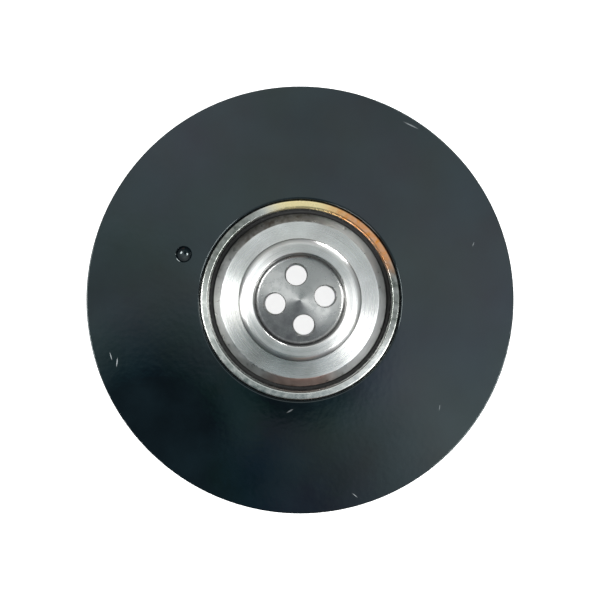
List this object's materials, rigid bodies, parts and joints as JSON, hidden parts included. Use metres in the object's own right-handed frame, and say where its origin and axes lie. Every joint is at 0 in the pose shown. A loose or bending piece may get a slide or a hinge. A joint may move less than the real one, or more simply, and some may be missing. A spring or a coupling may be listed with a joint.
{
  "type": "harmonic balancer",
  "caption": "Crankshaft harmonic balancer: a heavy black ring carried on rubber by a flanged steel hub with a seal neck, and a grooved belt pulley behind it.",
  "frame": {"origin": "on the crankshaft axis, in the plane of the pulley rim's front edge", "axes": "+Z along the crankshaft axis from the pulley towards the engine, so the neck points up; X and Y are across, with the first bolt hole 8.6 degrees from +X"},
  "size_m": [0.195, 0.195, 0.0709],
  "materials": {
    "turned_steel": "turned bright",
    "bonded_rubber": "matt",
    "bare_steel": "as rolled, unpainted",
    "black_enamel": "glossy",
    "phosphated_steel": "grey phosphate on the grooves, black paint elsewhere"
  },
  "bodies": {
    "root": {"hub": "turned_steel", "damper_rubber": "bonded_rubber", "ring_sleeve": "bare_steel", "inertia_ring": "black_enamel", "belt_pulley": "phosphated_steel"}
  },
  "joints": []
}
